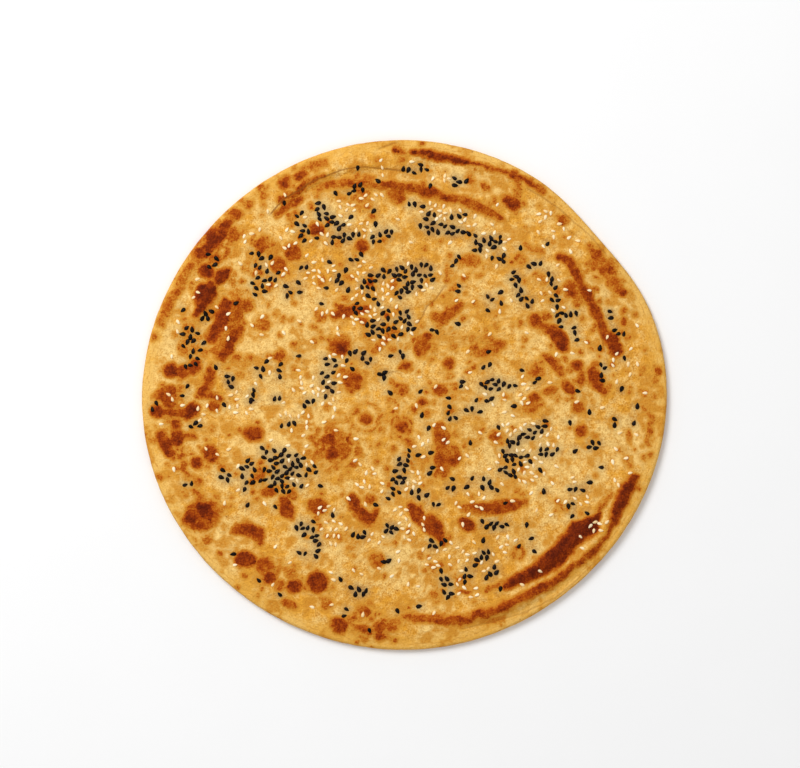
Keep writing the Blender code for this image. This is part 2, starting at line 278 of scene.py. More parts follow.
# ---- Sesame -----------------------------------------------------------------------------------

# Pinches of black seed: x, y, half length, half width, heading, and how many
BLACK_PINCHES = (
    (-95, 67, 7, 3, 85, 4), (-72.5, 67, 7.5, 3.5, -35, 6), (-72.5, 55, 4.5, 4, 30, 7),
    (-64.5, 59.5, 3.5, 2, 60, 3), (-55.5, 52.5, 5.5, 4.5, 30, 5),
    (-50.5, 84, 10, 2.4, 105, 8), (4.5, 112, 7, 2.6, 0, 6), (27, 107.5, 5, 3, 20, 4),
    (-23, 102.5, 5, 3, 10, 5), (-40, 90, 6.5, 4, -60, 9), (5, 95, 5, 1, 0, 2), (11, 88.5, 5, 1.5, 30, 2),
    (-33.2, 84.6, 2.2, 1.2, -30, 4), (-12.5, 78.7, 5.5, 2, 25, 7), (-30.5, 78, 7, 2, 8, 8),
    (-24, 68.2, 4, 1, 25, 3),
    (-32.2, 57.6, 2, 1.4, -40, 3), (-51, 64, 1.4, .6, 0, 2), (19, 83, 10, 2, -8, 14), (27, 88.5, 4, 1.5, 0, 2),
    (36, 75.5, 4.5, 1.8, 95, 5), (43.5, 76.5, 3.5, 2, 20, 7), (27, 67.5, 3, 1, 45, 3),
    (6, 63.6, 9.5, 1.6, 6, 8), (-7, 60.3, 6, 1.6, 0, 6), (-15, 58.5, 3.5, 1.5, 10, 4),
    (6, 58.2, 8, 2.6, 6, 10), (6, 54.2, 4, 1.2, 15, 4), (-16.8, 51.5, 5.5, 2, -65, 6), (-1.8, 50, 5, 1.5, -65, 3),
    (27, 52.5, 1.5, .5, 90, 2), (42.6, 48.7, 2.5, .5, -45, 2), (48.8, 68, 2.5, 1.5, 50, 3),
    (65, 65.5, 3, 1.2, 20, 3), (56.5, 54.5, 6.5, 1.5, -75, 8), (63, 47, 2.5, 2.5, 0, 3),
    (75.5, 47.5, 11, 1.6, -78, 12), (82.5, 40.5, 2, 1, 0, 3), (-98, 40, 5, 2, 20, 4),
    (-105, 26, 11, 5.5, 95, 14), (-106, 15, 4, 1.5, 0, 2), (-109.5, 2.5, 3.5, 1, 60, 2),
    (-124, -5, 3, 1, 50, 2), (-87, 6.7, 3, 1.2, 100, 4), (-71, 13, 7, 3, 45, 4),
    (-61.5, 11.5, 2.5, .6, 90, 3), (-75.2, .6, 2.2, .9, 90, 4), (-64, -1.5, 2, .5, 0, 2),
    (-46.5, -3.4, 2.5, .6, 20, 3), (-103.5, -15.5, 3.5, 1.5, 0, 3), (-57, -14.5, 4.5, .8, 10, 3),
    (-61, -31.5, 11, 3.5, -15, 19), (-62, -38, 6.5, 3.2, 0, 11), (-77.5, -39.5, 7.5, 3.5, 75, 10), (-62, -45, 6, 3.2, -15, 10),
    (-89.3, -39, 3, 3, 0, 4), (-108, -44, 2.5, .5, 0, 2), (-23.5, 43.5, 1.8, 1.5, 0, 4), (-46, -37, 3, 2, 0, 3),
    (2, 40, 5, .8, -80, 3), (-7, 35.2, 11, 6.3, 0, 22), (16.6, 31.5, 1.8, .5, -30, 2),
    (-23.5, 19, 8, 5.5, 10, 8), (-37.8, 9, 11.5, 3.6, 85, 12), (-4, 20, 5, 1.5, 10, 3),
    (-10.5, 9.5, 2, 2, 0, 3), (29, 6, 2.5, .6, 75, 2), (40, 14, 3, 1.2, 30, 2),
    (46, 4.8, 6.5, 2.5, -5, 11), (40, -2, 5, 1, 0, 3), (23.5, -9, 3.5, 1.5, -60, 4),
    (34.5, -7.5, 5, .8, -10, 3), (-2, -38, 9.5, 3, 70, 16), (13.4, -37.5, 2.5, .6, 60, 2),
    (36.5, -41, 3.5, .8, 0, 2), (102.4, 41.2, 2.7, .5, -80, 2), (86, 29, 5, .8, -70, 3),
    (107, 31.5, 4, 1, -25, 3), (99, 12, 3.5, 1.2, 90, 4), (65.8, 7.4, 1.8, .5, 60, 2),
    (104.9, -12.5, 1.4, .5, 80, 2), (65.5, -17.6, 5.5, 2, 38, 9), (55.5, -23, 4.5, 2, 10, 5),
    (55, -31, 7, 3, -10, 10), (70.5, -28, 5, 1.5, 0, 5), (94.5, -24, 4, 2, 10, 4),
    (52, -37.3, 4.5, 1.8, -10, 6), (-49, -67, 5, 3, -40, 7), (-52.7, -78.6, 4, .5, 0, 2),
    (-43.5, -75.5, 4, 1.2, 90, 5), (-22, -69.3, 3.2, 1, 15, 4), (-6.2, -66.5, 2.5, 2, 0, 5),
    (9, -50.5, 8, 3, -30, 6), (27.5, -46, 5, .6, 0, 3), (-21.5, -97.3, 3.5, 2.5, -20, 4),
    (-29.2, -108.5, 2.6, .5, 70, 2), (-9.4, -82.7, 1.5, .4, 10, 2), (16, -73.5, 5, 2.5, 10, 5),
    (44.5, -64.3, 4.5, 1.8, -5, 7), (39.5, -79.5, 4.5, 1.8, 45, 6), (21.5, -92, 9.5, 3, -80, 8),
    (31.5, -90.5, 5, 1.5, 90, 4), (44, -45, 5, 2, 0, 3), (44, -87.5, 3, 1.5, 60, 4), (84.5, -47, 3, .8, 0, 3),
    (83.6, -54, 2, .8, 35, 2),
)
# Black seeds that lie alone: x and y
BLACK_STRAYS = (
    (-59.5, 95.6), (-83.5, 46), (-23, 113), (-13, 106.7), (13, 104.2), (-34, 100.5), (-15.2, 91.7),
    (-26.5, 88.7), (-43.5, 78.3), (43.8, 68.3), (-41, 45.7), (71.5, 75.5), (58, 73.5), (48, 51.3),
    (48.3, 46), (-110, 42.5), (-93.7, 14), (-52.5, 19.7), (-89.5, -4.7), (-51, -45), (26.7, 35.7),
    (41.8, 42.3), (-7, 1.4), (8.3, 2), (42.2, 21.8), (22, -1.3), (9, -9.7), (12.2, -16.3), (33, -23.5),
    (13.5, -28.5), (7.2, -29.7), (24, -41.5), (-41.5, -45), (97.5, 23.7), (109.8, 18.5), (108.3, 3.2),
    (58.8, 12.5), (86.5, 2.2), (54.6, -5.3), (92.3, -8.2), (116.2, -5.3), (82.7, -13.7),
    (114.5, -13.7), (47, -16), (85.3, -27.7), (68, -37.3), (98, -35.7), (92.3, -43.3), (-77.8, -54.5),
    (-64, -55.5), (-45, -62.8), (-85, -79), (-72.3, -92), (-61.8, -99), (-8, -51.3), (-14, -54.5),
    (-35.5, -59.5), (-17.2, -117), (-3.2, -107.3), (7.5, -105), (39.5, -72), (46.3, -47),
    (69.5, -47.7), (50.5, -53.5), (91, -58.5), (83.7, -60.2), (61, -64.5), (63.3, -71.3),
    (57.3, -75), (65, -77.7), (48, -96.3), (-31.6, -91.4), (-26.3, -95.7), (-69.5, -37),
    (-69, -42), (-14.2, 85.2), (-29, 62.3), (-27.8, 52.6), (-38.8, 53.6), (-37, 66.3), (-66.5, 68.7),
    (9.2, 94), (15.1, 90), (30.3, 90), (63, -33), (76.2, -26.9),
)

# Pinches of pale seed, and how many more are strewn evenly
PALE_PINCHES = (
    (-29, 90.5, 6, 5, 0, 9), (-21, 83, 6, 4, 20, 6), (14.8, 91.4, 4, 3, 0, 9), (25, 88, 8, 4, -10, 8),
    (-20, 97, 8, 4, 0, 5), (22.5, 107.5, 2.5, 1.5, 0, 3), (-40, 60, 10, 7, -40, 15),
    (-22, 62, 6, 5, 0, 7), (-14, 50, 12, 6, 0, 15), (-20, 38, 6, 4, 0, 8), (-38, 44, 6, 4, 0, 4),
    (-42, 80, 6, 5, 0, 5), (-58, 78, 7, 5, 0, 5), (-76, 80, 5, 4, 0, 3), (-66, 60, 9, 6, 0, 6),
    (-50, 5, 8, 6, 0, 9), (-38, 2, 6, 5, 0, 7), (-55, -14, 10, 7, 0, 10), (-80, -3, 8, 6, 0, 9),
    (-100, -9, 6, 4, 0, 4), (60, -24, 14, 11, 0, 26), (60, -38, 7, 5, 0, 9), (52, 1, 12, 7, 0, 9),
    (112, 10, 16, 11, 90, 9), (70, 86, 9, 6, -30, 9), (5, -66, 8, 6, 0, 10), (0, -57, 6, 3, 0, 4),
    (-13, -71, 5, 4, 0, 4), (-35, -68, 7, 6, 0, 11), (-40, -59, 6, 4, 0, 5), (34, -52, 9, 7, 0, 9),
    (20, -80, 12, 7, 0, 12), (38, -82, 8, 5, 0, 7), (31, -96, 5, 5, 0, 5), (96, -65, 3, 3, 0, 5),
    (51, -72, 6, 4, 0, 5), (14, -26, 9, 7, 0, 6), (2, -42, 7, 6, 0, 8), (-17, -42, 7, 5, 0, 8),
    (-58, -36, 9, 7, 0, 8), (-8, 34, 11, 7, 0, 10), (-34, 15, 8, 4, 90, 6), (74, 50, 12, 7, -70, 9),
    (4, 58, 10, 6, 0, 7), (44, 76, 7, 6, 0, 7), (84, -48, 10, 7, 0, 8),
)
PALE_STREWN = 165

BLACK_SEED = (3.15, 2.10, 0.95)  # length, width, thickness
PALE_SEED = (2.65, 1.52, 0.75)
SEED_RINGS = 5
SEED_SIDES = 8
SEED_GAP = 2.4  # nearest that the middles of two seeds lie
STREWN_SHARE = 0.93  # of the rim's radius; no seeds lie on the rolled edge
SEED_BEDDED = 0.12  # share of its thickness that a seed's middle stands above the crust


# ---- Shape ------------------------------------------------------------------------------------


def ease(t):
    """3t² − 2t³, with t held between 0 and 1."""
    t = np.clip(t, 0, 1)
    return t * t * (3 - 2 * t)


def cloud(x, y, size, seed):
    """Soft random patches from 0 to 1: a lattice of random values that far apart, blended
    between its corners with ease."""
    lattice = np.random.default_rng(seed).random((256, 256))
    u, v = x / size, y / size
    column, row = np.floor(u).astype(int), np.floor(v).astype(int)
    across, along = ease(u - column), ease(v - row)
    here = lattice[row % 256, column % 256]
    right = lattice[row % 256, (column + 1) % 256]
    over = lattice[(row + 1) % 256, column % 256]
    diagonal = lattice[(row + 1) % 256, (column + 1) % 256]
    near = here + (right - here) * across
    far = over + (diagonal - over) * across
    return near + (far - near) * along


def mottle(x, y, size, seed):
    """Three clouds, each half as large and half as strong as the one before, from 0 to 1."""
    layers = [cloud(x, y, size / 2**n, seed + n) / 2**n for n in range(3)]
    return sum(layers) / 1.75


def rim_radius(angle):
    """The mean radius with its waves, less the flatter stretch, which fades as a bell curve."""
    degrees = np.degrees(angle)
    ripple = sum(
        wave.amplitude * np.cos(np.radians(wave.count * (degrees - wave.peak_deg)))
        for wave in OUTLINE_WAVES
    )
    off = (degrees - TAIL_DEG + 180) % 360 - 180
    return MEAN_RADIUS * (1 + ripple) - TAIL_DENT * np.exp(-((off / TAIL_SPREAD_DEG) ** 2))


def fold_height(fold, share, degrees):
    """A rounded ridge along the fold's line, narrower on its steep flank, tapering at both ends."""
    span = abs(fold.end_deg - fold.start_deg)
    turn = 1 if fold.end_deg > fold.start_deg else -1
    along = ((degrees - fold.start_deg) * turn) % 360 / span
    on_it = along < 1
    along = np.where(on_it, along, 0)
    line = fold.start_share + (fold.end_share - fold.start_share) * along
    line = line + fold.bow * np.sin(math.pi * along)
    off = (share - line) * MEAN_RADIUS
    flank = np.where(off > 0, fold.outer, fold.inner)
    return on_it * fold.height * np.sqrt(np.sin(math.pi * along)) * np.exp(-((off / flank) ** 2))


def swell_height(x, y):
    """The sum of long sine waves, each along its own heading."""
    total = 0
    for swell in SWELLS:
        heading = math.radians(swell.heading)
        run = x * math.cos(heading) + y * math.sin(heading)
        total = total + swell.height * np.sin(
            math.tau * run / swell.wavelength + math.radians(swell.offset_deg)
        )
    return total


def underside_height(share, angle):
    """Flat, then curling up towards the edge by an amount that varies round the bread."""
    curl = (1 + np.cos(3 * angle + math.radians(70))) / 2
    return RIM_LIFT * curl * ease((share - FLAT_SHARE) / (1 - FLAT_SHARE))


def top_height(x, y):
    """Rim thickness rising over the shoulder to the full dough, plus its swells, folds, blisters,
    grooves and a fine unevenness of the skin."""
    angle = np.arctan2(y, x)
    radius = rim_radius(angle)
    share = np.hypot(x, y) / radius
    shoulder = ease((1 - share) * radius / SHOULDER)
    height = RIM_THICKNESS + (DOUGH_THICKNESS - SINK - RIM_THICKNESS) * shoulder
    height = height + shoulder * swell_height(x, y)
    degrees = np.degrees(angle)
    height = height + sum(fold_height(fold, share, degrees) for fold in FOLDS)
    inland = ease((1 - share) * radius / 4)
    raised = [dark * ease((depth + 0.5) / 1.6) for depth, dark in marks_at(x, y)]
    skin = BLISTER_RISE * np.maximum(*raised) - CREASE_DEPTH * crease_depth(x, y)
    skin = skin + 0.30 * (mottle(x, y, 9, 41) - 0.5) + 0.16 * (mottle(x, y, 2.6, 47) - 0.5)
    return height + inland * skin + underside_height(share, angle)


# ---- Browning ---------------------------------------------------------------------------------

BLISTER_RISE = 0.32
CREASE_DEPTH = 0.45
CREASE_HALF_WIDTH = 0.6
BURNT = 0.62  # marks darker than this lie over the toasted ones
FRECKLES = 700


def wobbled(x, y, reach):
    """The place moved by up to about half of reach along soft random fields, which makes drawn
    edges uneven."""
    dx = reach * (cloud(x, y, 5.3, 3) - 0.5) + 0.5 * (cloud(x, y, 2.3, 5) - 0.5)
    dy = reach * (cloud(x, y, 5.3, 4) - 0.5) + 0.5 * (cloud(x, y, 2.3, 6) - 0.5)
    return x + dx, y + dy


def line_distance(x, y, start, end, start_width=0.0, end_width=0.0):
    """Distance to the stretch between two points, less the half width there, which changes evenly
    from the one to the other."""
    run_x, run_y = end[0] - start[0], end[1] - start[1]
    along = ((x - start[0]) * run_x + (y - start[1]) * run_y) / (run_x**2 + run_y**2)
    along = np.clip(along, 0, 1)
    away = np.hypot(x - start[0] - along * run_x, y - start[1] - along * run_y)
    return away - (start_width + (end_width - start_width) * along)


def each_mark(x, y):
    """For every blister, ring and burnt line, how dark it is, and how deep inside its outline each
    place lies, in mm, which is negative outside."""
    far_x, far_y = wobbled(x, y, 2.2)
    for dark, *route in BURNT_LINES:
        for start, end in zip(route, route[1:]):
            yield dark, -line_distance(far_x, far_y, start, end, start[2], end[2])
    x, y = wobbled(x, y, 1.3)
    for centre_x, centre_y, long, wide, heading, dark in BLISTERS:
        turn = math.radians(heading)
        u = (x - centre_x) * math.cos(turn) + (y - centre_y) * math.sin(turn)
        v = (y - centre_y) * math.cos(turn) - (x - centre_x) * math.sin(turn)
        yield dark, (1 - np.hypot(u / long, v / wide)) * (long + wide) / 2
    for centre_x, centre_y, radius, dark in SPOTS:
        yield dark, radius - np.hypot(x - centre_x, y - centre_y)
    for centre_x, centre_y, radius, half_width, dark in RINGS:
        yield dark, half_width - np.abs(np.hypot(x - centre_x, y - centre_y) - radius)
    rng = np.random.default_rng(83)
    middles = np.array([blister[:2] for blister in BLISTERS])
    for _ in range(FRECKLES):
        centre_x, centre_y = middles[rng.integers(len(middles))] + rng.normal(0, 8, 2)
        radius, dark = rng.uniform(0.5, 1.5), rng.uniform(0.30, 0.60)
        yield dark, radius - np.hypot(x - centre_x, y - centre_y)


def marks_at(x, y):
    """Two layers of marks, the toasted and the burnt. Each is the depth inside the nearest mark's
    outline and how dark that mark is."""
    toasted, burnt = ([np.full_like(x, -9.0), np.zeros_like(x)] for _ in range(2))
    for dark, inside in each_mark(x, y):
        depth, darkness = burnt if dark > BURNT else toasted
        nearer = inside > depth
        depth[nearer] = inside[nearer]
        darkness[nearer] = dark
    return toasted, burnt


def creases(x, y):
    """For the nearest fine groove: how far to its left, in mm, a place lies, negative on its right,
    and how deep the groove is there, fading over a few mm to either side and at its ends."""
    side, deepest, nearest = np.full_like(x, 9.0), np.zeros_like(x), np.full_like(x, 9.0)
    for deep, *route in CREASES:
        for start, end in zip(route, route[1:]):
            run_x, run_y = end[0] - start[0], end[1] - start[1]
            length = math.hypot(run_x, run_y)
            left = ((y - start[1]) * run_x - (x - start[0]) * run_y) / length
            away = line_distance(x, y, start, end)
            beyond = np.sqrt(np.maximum(away**2 - left**2, 0))
            here = (away < nearest) & (beyond < 3)
            nearest[here], side[here] = away[here], left[here]
            deepest[here] = deep * ease(1 - beyond[here] / 2.5)
    return side, deepest


def crease_depth(x, y):
    """1 in the middle of the deepest grooves, fading to either side as a bell curve."""
    side, deepest = creases(x, y)
    return deepest * np.exp(-((side / CREASE_HALF_WIDTH) ** 2))


def patches(x, y, places):
    """The sum of bell-shaped patches, each of a radius and a strength."""
    total = np.zeros_like(x)
    for centre_x, centre_y, radius, strength in places:
        away = np.hypot(x - centre_x, y - centre_y)
        total = total + strength * np.exp(-((away / radius) ** 2))
    return total


def golden_share(x, y):
    """How golden the dough is between the marks: 0 floury and tan, 1 a full oily gold. Its tones
    and slow soft patches."""
    return 0.46 + 2.2 * patches(x, y, TONES) + 0.9 * (mottle(x, y, 13, 11) - 0.5)


def toasting(x, y):
    """How far the dough between the marks is browned: the dustings and some patches of its own,
    both broken into grains."""
    grains = ease((mottle(x, y, 3.2, 23) - 0.40) / 0.16)
    heat = patches(x, y, DUSTINGS) * (0.45 + 0.75 * grains)
    return heat + 0.26 * ease((mottle(x, y, 8, 41) - 0.515) / 0.11) * (0.3 + 0.7 * grains)


def underside_marks(x, y):
    """The face that lay on the griddle: seeded brown blotches of many sizes, in two layers,
    which fade out towards the edge, where the dough curls up."""
    rng = np.random.default_rng(71)
    x, y = wobbled(x, y, 1.6)
    toasted, burnt = ([np.full_like(x, -9.0), np.zeros_like(x)] for _ in range(2))
    for _ in range(170):
        centre_x, centre_y = rng.uniform(-120, 120, 2)
        radius, dark = rng.gamma(2.2, 1.6) + 1.2, rng.uniform(0.35, 0.85)
        inside = radius - np.hypot(x - centre_x, y - centre_y)
        depth, darkness = burnt if dark > BURNT else toasted
        nearer = inside > depth
        depth[nearer] = inside[nearer]
        darkness[nearer] = dark
    near_edge = ease((np.hypot(x, y) - rim_radius(np.arctan2(y, x)) + 11) / 6)
    for depth, _ in (toasted, burnt):
        depth -= 12 * near_edge
    return toasted, burnt


# ---- Meshes -----------------------------------------------------------------------------------


def closed_rows(rows, first_pole, last_pole):
    """Points and faces of a closed skin: rows of points round an axis, joined to the next row by
    quads, with a fan of triangles to a pole at each end."""
    count, sides = rows.shape[:2]
    points = np.concatenate([[first_pole], rows.reshape(-1, 3), [last_pole]])
    at = 1 + np.arange(count * sides).reshape(count, sides)
    beside = np.roll(at, -1, axis=1)
    quads = np.stack([at[:-1], beside[:-1], beside[1:], at[1:]], axis=-1).reshape(-1, 4)
    first_fan = np.stack([np.zeros_like(at[0]), beside[0], at[0]], axis=-1)
    last_fan = np.stack([np.full_like(at[0], len(points) - 1), at[-1], beside[-1]], axis=-1)
    return points, quads, np.concatenate([first_fan, last_fan])


def new_piece(name, points, quads, triangles, values, material):
    """An object at the origin with a smooth mesh of those faces and one value a point for each
    named attribute. Points are in metres."""
    mesh = bpy.data.meshes.new(name)
    corners = np.concatenate([quads.ravel(), triangles.ravel()])
    sizes = np.repeat([4, 3], [len(quads), len(triangles)])
    mesh.vertices.add(len(points))
    mesh.vertices.foreach_set("co", points.astype(np.float32).ravel())
    mesh.loops.add(len(corners))
    mesh.loops.foreach_set("vertex_index", corners.astype(np.int32))
    mesh.polygons.add(len(sizes))
    mesh.polygons.foreach_set("loop_start", (np.cumsum(sizes) - sizes).astype(np.int32))
    mesh.update(calc_edges=True)
    mesh.shade_smooth()
    for attribute, numbers in values.items():
        layer = mesh.attributes.new(attribute, "FLOAT", "POINT")
        layer.data.foreach_set("value", numbers.astype(np.float32))
    mesh.materials.append(material)
    piece = bpy.data.objects.new(name, mesh)
    bpy.context.scene.collection.objects.link(piece)
    return piece


def to_frame(points):
    """Points in mm about the coil's middle, moved to the solid's place and into metres."""
    return (points + [*BREAD_MIDDLE, 0]) * MM


def bread_rows():
    """Rows of the skin, from the underside's middle out, round the edge and back over the top, as
    arrays of share, level and on_top. level runs from 0 on the underside to 1 on the top."""
    rounding = RIM_THICKNESS / 2 / MEAN_RADIUS
    under = np.linspace(0, 1 - rounding, UNDERSIDE_RINGS + 1)[1:-1]
    turn = math.pi * (np.arange(EDGE_STEPS + 1) / EDGE_STEPS - 0.5)
    inward = np.arange(1, TOP_RINGS) / TOP_RINGS
    top = (1 - rounding) * (1 - inward**1.25)
    edge = 1 - rounding * (1 - np.cos(turn))
    share = np.concatenate([under, edge, top])
    level = np.concatenate([np.zeros_like(under), (1 + np.sin(turn)) / 2, np.ones_like(top)])
    return share[:, None], level[:, None]


def make_crust(seeds):
    """The whole skin of the bread: a polar grid whose height goes from the underside to the top by
    each row's level, with the dough's thin layers as faint ledges round the edge."""
    share, level = bread_rows()
    angle = np.arange(SECTORS) * math.tau / SECTORS
    radius = rim_radius(angle) - OUTLINE_TRIM
    layers = np.cos(math.tau * (3.2 * level + cloud(radius * angle, level, 9, 61)))
    reach = share * radius - 0.14 * np.sin(math.pi * level) ** 2 * (1 + layers)
    x, y = reach * np.cos(angle), reach * np.sin(angle)
    low = underside_height(share, angle)
    z = low + (top_height(x, y) - low) * level
    rows = np.stack([x, y, z], axis=-1)
    poles = np.zeros((2, 3))
    poles[1, 2] = top_height(np.zeros(1), np.zeros(1))[0]
    points, quads, fans = closed_rows(rows, *poles)

    on_top = np.concatenate([[0], np.broadcast_to(level, x.shape).ravel(), [1]]) > 0.5
    px, py = points[:, 0], points[:, 1]
    above, below = marks_at(px, py), underside_marks(px, py)
    (toast_depth, toast_dark), (burn_depth, burn_dark) = [
        [np.where(on_top, *pair) for pair in zip(*layers)] for layers in zip(above, below)
    ]
    groove_side, groove_shade_depth = creases(px, py)
    values = {
        "golden": golden_share(px, py),
        "inward": np.clip(rim_radius(np.arctan2(py, px)) - np.hypot(px, py), 0, 12),
        "toasting": toasting(px, py),
        "toast_depth": np.maximum(toast_depth, -6),
        "toast_dark": toast_dark,
        "burn_depth": np.maximum(burn_depth, -6),
        "burn_dark": burn_dark,
        "seed_stain": seed_stain(px, py, seeds) * on_top,
        "groove_side": groove_side,
        "groove_shade_depth": groove_shade_depth * on_top,
    }
    return new_piece("bread_crust", to_frame(points), quads, fans, values, crust_material())


def seed_stain(x, y, seeds):
    """How many black seeds lie about a place, each counting as a bell curve 2.8 mm wide, up to 1."""
    total = np.zeros_like(x)
    for seed_x, seed_y in seeds:
        total += np.exp(-((x - seed_x) ** 2 + (y - seed_y) ** 2) / 2.8**2)
    return 1 - np.exp(-0.55 * total)


def seed_rows():
    """A seed one unit long, wide and thick: a drop, blunt at one end and drawn to a point at the
    other. Its width at a share s of the length is sin(pi s^0.72)^0.75."""
    share = (np.arange(SEED_RINGS) + 0.6) / (SEED_RINGS + 0.2)
    width = np.sin(math.pi * share**0.72) ** 0.75 / 2
    turn = np.arange(SEED_SIDES) * math.tau / SEED_SIDES
    x = np.broadcast_to(share[:, None] - 0.5, (SEED_RINGS, SEED_SIDES))
    rows = np.stack([x, width[:, None] * np.cos(turn), width[:, None] * np.sin(turn)], axis=-1)
    return closed_rows(rows, (-0.5, 0, 0), (0.5, 0, 0))


def lay_seeds(rng, pinches, strays, strewn, taken):
    """Places for the seeds: those alone, then each pinch's, spread evenly over its ellipse, then
    the strewn ones. A place too near another seed is drawn again, a little farther out."""
    laid = [np.array(stray, float) for stray in strays]
    taken.extend(laid)

    def lay(draw):
        for attempt in range(60):
            place = draw(1 + attempt / 50)
            if not taken or np.min(np.hypot(*(np.array(taken) - place).T)) >= SEED_GAP:
                break
        taken.append(place)
        laid.append(place)

    def in_pinch(reach, centre_x, centre_y, long, wide, heading):
        away, turn = reach * math.sqrt(rng.random()), rng.uniform(0, math.tau)
        u, v = long * away * math.cos(turn), wide * away * math.sin(turn)
        tilt = math.radians(heading)
        return np.array(
            [
                centre_x + u * math.cos(tilt) - v * math.sin(tilt),
                centre_y + u * math.sin(tilt) + v * math.cos(tilt),
            ]
        )

    def anywhere(_):
        angle = rng.uniform(0, math.tau)
        away = math.sqrt(rng.random()) * STREWN_SHARE * rim_radius(np.array(angle))
        return np.array([away * math.cos(angle), away * math.sin(angle)])

    for *pinch, count in pinches:
        for _ in range(count):
            lay(lambda reach, pinch=pinch: in_pinch(reach, *pinch))
    for _ in range(strewn):
        lay(anywhere)
    return np.array(laid)


def make_seeds(name, places, size, rng, material):
    """Every seed of one kind as one mesh: the drop, scaled to about its size, rolled about its
    length, turned to its heading, leaning with the crust under it and bedded into it."""
    count = len(places)
    points, quads, fans = seed_rows()
    growth = rng.uniform(0.88, 1.12, (count, 1, 1))
    shape = points[None] * np.array(size) * growth
    roll, heading = rng.uniform(-0.4, 0.4, (2, count, 1)) * [[[1]], [[math.pi / 0.4]]]
    y = shape[..., 1] * np.cos(roll) - shape[..., 2] * np.sin(roll)
    z = shape[..., 1] * np.sin(roll) + shape[..., 2] * np.cos(roll)
    dx = shape[..., 0] * np.cos(heading) - y * np.sin(heading)
    dy = shape[..., 0] * np.sin(heading) + y * np.cos(heading)
    seed_x, seed_y = places[:, 0], places[:, 1]
    here = top_height(seed_x, seed_y)
    slope_x = (top_height(seed_x + 1, seed_y) - top_height(seed_x - 1, seed_y)) / 2
    slope_y = (top_height(seed_x, seed_y + 1) - top_height(seed_x, seed_y - 1)) / 2
    z = z + (here + SEED_BEDDED * size[2])[:, None] + slope_x[:, None] * dx + slope_y[:, None] * dy
    placed = np.stack([dx + seed_x[:, None], dy + seed_y[:, None], z], axis=-1)
    step = (np.arange(count) * len(points))[:, None, None]
    values = {
        "seed_tone": np.repeat(rng.random(count), len(points)),
        "seed_along": np.tile(points[:, 0] + 0.5, count),
    }
    return new_piece(
        name,
        to_frame(placed.reshape(-1, 3)),
        (quads[None] + step).reshape(-1, 4),
        (fans[None] + step).reshape(-1, 3),
        values,
        material,
    )


# ---- Finishes ---------------------------------------------------------------------------------


def linear(red, green, blue):
    """A display colour of 0 to 255 a channel as the linear colour that a shader takes."""
    shares = np.array([red, green, blue]) / 255
    return (*np.where(shares <= 0.04045, shares / 12.92, ((shares + 0.055) / 1.055) ** 2.4), 1.0)


def new_material(name, roughness):
    material = bpy.data.materials.new(name)
    material.use_nodes = True
    tree = material.node_tree
    shader = tree.nodes["Principled BSDF"]
    shader.inputs["Roughness"].default_value = roughness
    shader.inputs["Specular IOR Level"].default_value = 0.08
    return material, tree, shader


def node(tree, kind, **settings):
    """A new node of that kind; a setting names either a property of the node or one of its inputs,
    and an input may be given a value or another node's socket."""
    made = tree.nodes.new(kind)
    later = {}
    for name, value in settings.items():
        if hasattr(made, name):
            setattr(made, name, value)
        else:
            later[name] = value
    for name, value in later.items():
        socket = made.inputs[int(name[1:]) if name[0] == "_" else name.replace("_", " ")]
        if isinstance(value, bpy.types.NodeSocket):
            tree.links.new(value, socket)
        else:
            socket.default_value = value
    return made


def maths(tree, operation, *values):
    return node(
        tree, "ShaderNodeMath", operation=operation, **{f"_{n}": v for n, v in enumerate(values)}
    ).outputs[0]


def attribute(tree, name):
    return node(tree, "ShaderNodeAttribute", attribute_name=name).outputs["Fac"]


def ramp(tree, factor, stops):
    """A colour ramp through stops of (position, colour)."""
    made = node(tree, "ShaderNodeValToRGB")
    tree.links.new(factor, made.inputs["Fac"])
    elements = made.color_ramp.elements
    while len(elements) < len(stops):
        elements.new(0.5)
    for element, (position, colour) in zip(elements, stops):
        element.position = position
        element.color = colour
    return made.outputs["Color"]


def mixed(tree, factor, first, second, blend="MIX"):
    made = node(tree, "ShaderNodeMix", data_type="RGBA", blend_type=blend)
    for socket, value in ((0, factor), (6, first), (7, second)):
        if isinstance(value, bpy.types.NodeSocket):
            tree.links.new(value, made.inputs[socket])
        else:
            made.inputs[socket].default_value = value
    return made.outputs[2]


